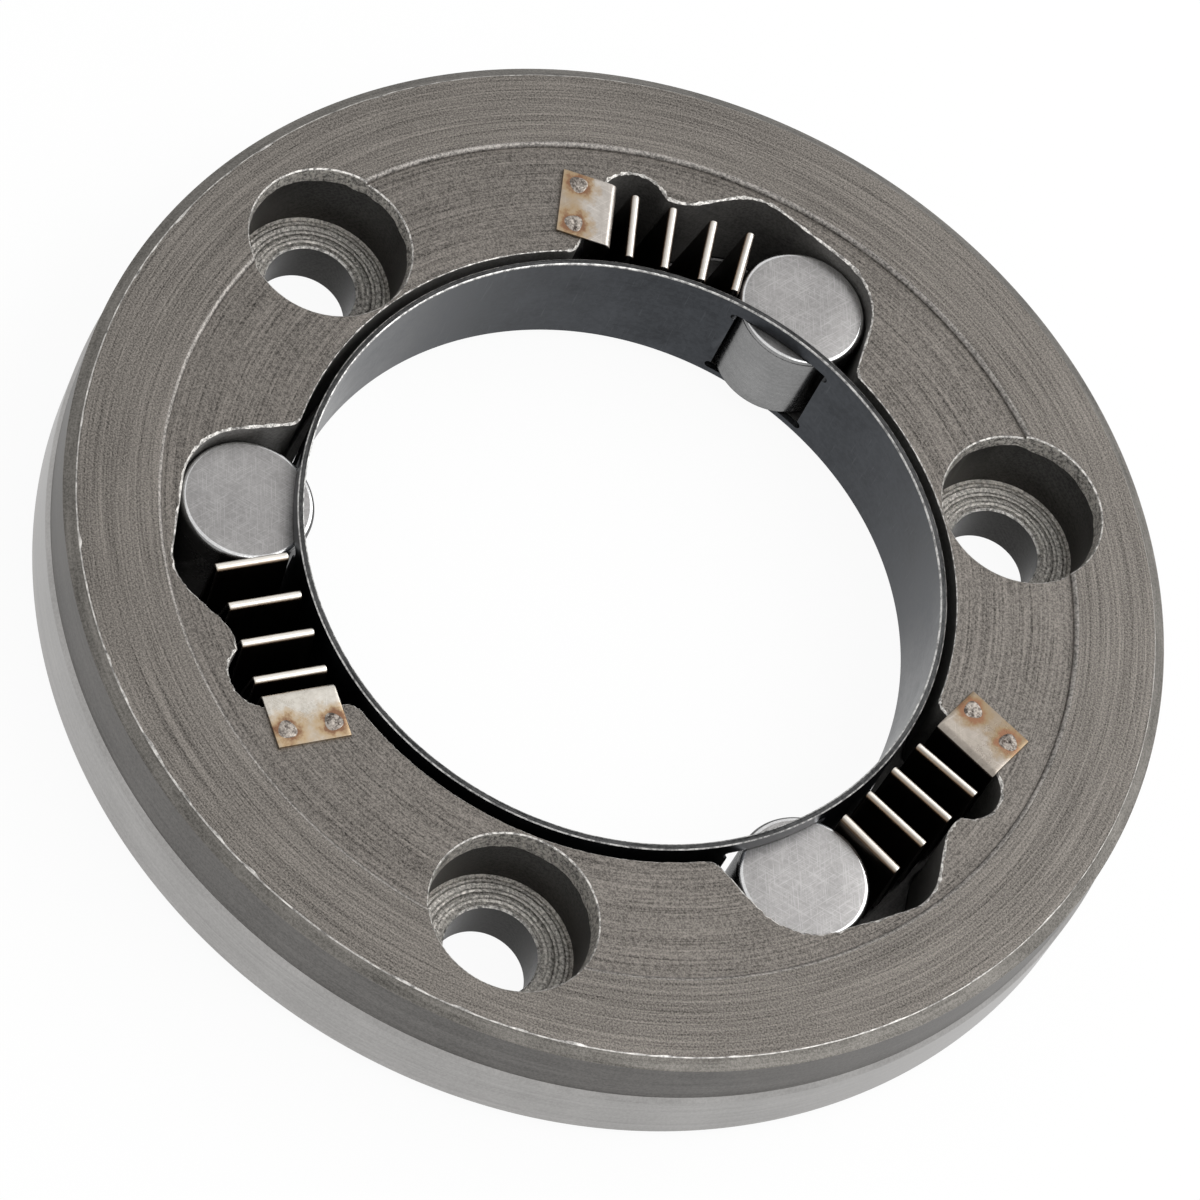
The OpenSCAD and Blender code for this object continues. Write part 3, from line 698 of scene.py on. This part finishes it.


# Each of the three strips has its own dull tone, bright tone, and how light its tint is: lit and
# shaded copies of one spring steel, so the difference between them is painted light and shade
SPRING_FINISHES = [
    spring_steel("spring_1_strip", (0.34, 0.31, 0.28), (0.53, 0.495, 0.46), 0.75),
    spring_steel("spring_2_strip", (0.5, 0.465, 0.41), (0.76, 0.725, 0.665), 0.95),
    spring_steel("spring_3_strip", (0.24, 0.211, 0.182), (0.36, 0.325, 0.284), 0.48),
]
section = strip_section()
weld_places = []
for number, a in enumerate(THIRDS):
    edge_x = TAB_EDGE_X + TAB_SHIFTS[number]
    line, left, tab_end, tops = strip_line(edge_x)
    along = np.append(0, np.cumsum(np.linalg.norm(np.diff(line, axis=0), axis=1)))
    knots = np.concatenate([[along[tab_end]], along[tops]])
    shift = np.interp(along, knots, FOLD_SHIFTS[number])
    shift = np.where(along > knots[-1], shift * np.clip((along[-1] - along) / 4.0, 0, 1), shift)
    lean = np.tan(np.radians(np.interp(along, knots, FOLD_TURNS[number])))
    lean = np.where(along > knots[-1], lean * np.clip((along[-1] - along) / 6.0, 0, 1), lean)
    across, thick = section[:, 0], section[:, 1]
    x = line[:, :1] + left[:, :1] * thick + shift[:, None] - lean[:, None] * across
    y = STRIP_OUT + across + 0 * x
    z = line[:, 1:] + left[:, 1:] * thick
    flat = to_clutch(np.stack([x, y], -1).reshape(-1, 2), a).reshape(*x.shape, 2)
    strip = np.concatenate([flat, z[..., None]], -1)
    # How far each point is from the nearest top fold, which places the painted highlight on the
    # folds and the painted shade on the legs; the tab and its bend count as on a top fold too, so
    # they take no painted shade
    fold_gap = np.abs(along[:, None] - along[tops][None, :]).min(1)
    fold_gap[:tab_end - 4] = 0
    strip_place = np.stack(np.broadcast_arrays(along[:, None], across, fold_gap[:, None]), -1)
    for name, rows in ((f"spring_{number + 1}_tab", slice(0, tab_end + 1)),
                       (f"spring_{number + 1}_folds", slice(tab_end, None))):
        spring = shell(name, [(strip[rows], 0)], [SPRING_FINISHES[number]], cap=True, sharp=35.0)
        spring.data.attributes.new("strip_place", "FLOAT_VECTOR", "POINT").data.foreach_set(
            "vector", strip_place[rows].ravel())
        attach(spring, "ring")
        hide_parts(f"spring_{number + 1}")
    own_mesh(spring)
    for gap in (-WELD_HALF_GAP, WELD_HALF_GAP):
        x = edge_x - WELD_BACK - np.tan(np.radians(FOLD_TURNS[number][0])) * gap
        weld_places.append(to_clutch([[x, STRIP_OUT + gap]], a)[0])


# The spot welds. Two nuggets hold each tab to the ring: the electrode has pressed a low, uneven
# dome with a dent in it, and the metal round it is burnt.
WELD_R, WELD_BASE_Z, WELD_H, WELD_DEEP = 0.86, 12.88, 0.2, 0.06
WELD_FINISH = steel("weld_nugget", (0.035, 0.026, 0.022), (0.42, 0.38, 0.34), 0.34, 0.0, 0.75, 0.25,
                    size=2.2, relief=0.03)
# A nugget's height is a dome with a dent in the middle and sine lumps, and its outline waves
radii = np.array([0.0, 0.0, 0.15, 0.3, 0.45, 0.6, 0.72, 0.84, 0.93, 1.0, 1.0])
nuggets = []
for number, centre in enumerate(weld_places):
    dome = lathe(np.column_stack([radii * WELD_R, np.zeros(len(radii))]), (0.0, 0.0), 48)
    x, y = dome[..., 0], dome[..., 1]
    lumps = (0.3 * np.sin(3.1 * x + 2.3 * number) * np.cos(3.7 * y - 1.7 * number)
             + 0.22 * np.sin(7.0 * x - number) * np.sin(6.3 * y + 2 * number))
    r = np.hypot(x, y) / WELD_R
    crown = np.sqrt(np.clip(1 - r ** 2, 0, 1))
    height = WELD_H * crown * (0.62 - 0.25 * np.exp(-(r / 0.35) ** 2) + lumps * 0.5)
    dome[..., 2] = WELD_BASE_Z + np.clip(height, 0, WELD_H)
    dome[0, :, 2] = dome[-1, :, 2] = WELD_BASE_Z - WELD_DEEP
    wave = 1 + 0.08 * np.sin(3 * np.arctan2(y, x) + number)
    dome[..., :2] = dome[..., :2] * wave[..., None] + centre
    nuggets.append((dome, 0))
welds = shell("welds", nuggets, [WELD_FINISH], sharp=40.0)
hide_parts("spot_welds")
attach(welds, "ring")


# The floor. It is a plain white table that keeps the clutch's soft shadow. The camera and the
# metal see it nearly white, and from underneath it is clear, so that the clutch's back shows. It
# lies a hair below the clutch, so that the two faces don't share one plane.
FLOOR_HALF, FLOOR_Z, FLOOR_GLOW = 3.0, -0.00005, 0.94
corners = FLOOR_HALF * np.array([(-1, -1, 0), (1, -1, 0), (1, 1, 0), (-1, 1, 0)])
floor_mesh = bpy.data.meshes.new("floor")
floor_mesh.from_pydata(corners + [0, 0, FLOOR_Z], [], [(0, 1, 2, 3)])
floor = bpy.data.objects.new("floor", floor_mesh)
bpy.context.scene.collection.objects.link(floor)
floor_white = bpy.data.materials.new("floor_white")
floor_white.use_nodes = True
tree = floor_white.node_tree
paper = tree.nodes["Principled BSDF"]
paper.inputs["Base Color"].default_value = (0.82, 0.82, 0.82, 1.0)
paper.inputs["Roughness"].default_value = 0.9
glow = add_node(tree, "ShaderNodeEmission", {"Color": (1.0, 1.0, 1.0, 1.0), "Strength": 1.0})


def background_rays(tree):
    """1 for the rays that see the background: the camera's, a mirror's and those through glass."""
    ray = tree.nodes.new("ShaderNodeLightPath")
    return math_node(tree, "MAXIMUM", ray.outputs["Is Camera Ray"], math_node(
        tree, "MAXIMUM", ray.outputs["Is Glossy Ray"], ray.outputs["Is Transmission Ray"]))


glowing = math_node(tree, "MULTIPLY", background_rays(tree), FLOOR_GLOW)
blend = add_node(tree, "ShaderNodeMixShader", {0: glowing, 1: paper.outputs[0], 2: glow.outputs[0]})
clear = tree.nodes.new("ShaderNodeBsdfTransparent")
from_below = tree.nodes.new("ShaderNodeNewGeometry").outputs["Backfacing"]
one_sided = add_node(tree, "ShaderNodeMixShader", {
    0: from_below, 1: blend.outputs[0], 2: clear.outputs[0]})
tree.links.new(one_sided.outputs[0], tree.nodes["Material Output"].inputs["Surface"])
floor_mesh.materials.append(floor_white)


# The light. A tent lights the clutch softly from all round, brighter from above and from one side,
# and the camera and the metal see it plain white. Two large soft lamps, on the side away from the
# camera, draw the gloss on the top faces.
TENT_BRIGHT_SIDE, TENT_DARK, TENT_BRIGHT = (-0.3, -0.6, 0.74), 0.3, 0.95
world = bpy.data.worlds.new("tent")
bpy.context.scene.world = world
world.use_nodes = True
tree = world.node_tree
tent = tree.nodes["Background"]
way = add_node(tree, "ShaderNodeTexCoord").outputs["Generated"]
side = add_node(tree, "ShaderNodeVectorMath", {0: way, 1: TENT_BRIGHT_SIDE},
                operation="DOT_PRODUCT").outputs["Value"]
shade = ranged(tree, side, -0.6, 0.95, TENT_DARK, TENT_BRIGHT)
strength = add_node(tree, "ShaderNodeMix", {0: background_rays(tree), 2: shade, 3: 1.0})
tree.links.new(strength.outputs[0], tent.inputs["Strength"])
tent.inputs["Color"].default_value = (1.0, 1.0, 1.0, 1.0)


def lamp(name, place, size, watts):
    """A square soft lamp that faces the clutch."""
    light = bpy.data.lights.new(name, "AREA")
    light.size, light.energy = size, watts
    stand = bpy.data.objects.new(name, light)
    stand.location = place
    stand.rotation_euler = (-Vector(place)).to_track_quat("-Z", "Y").to_euler()
    bpy.context.scene.collection.objects.link(stand)


lamp("key_lamp", (-0.16, -0.52, 0.46), 0.4, 1.7)
lamp("fill_lamp", (-0.3, -0.12, 0.48), 0.4, 1.2)


# The camera. It stands where the photograph was taken from: a long lens, high above the clutch and
# turned about its axis. Its place, the point it looks at and its roll come from the photograph's
# circles.
CAMERA_PLACE = Vector((-102.886, 291.484, 473.282)) * MM
CAMERA_TARGET = Vector((-2.328, 5.798, 13.0)) * MM
CAMERA_ROLL = np.radians(29.7298)
camera = bpy.data.objects.new("camera", bpy.data.cameras.new("camera"))
camera.data.lens = 190.48
camera.data.sensor_width = 36.0
camera.data.clip_start, camera.data.clip_end = 0.01, 20.0
camera.location = CAMERA_PLACE
camera.rotation_mode = "QUATERNION"
camera.rotation_quaternion = ((CAMERA_TARGET - CAMERA_PLACE).to_track_quat("-Z", "Y")
                              @ Quaternion((0.0, 0.0, 1.0), CAMERA_ROLL))
bpy.context.scene.collection.objects.link(camera)
bpy.context.scene.camera = camera
bpy.context.scene.view_settings.view_transform = "Standard"
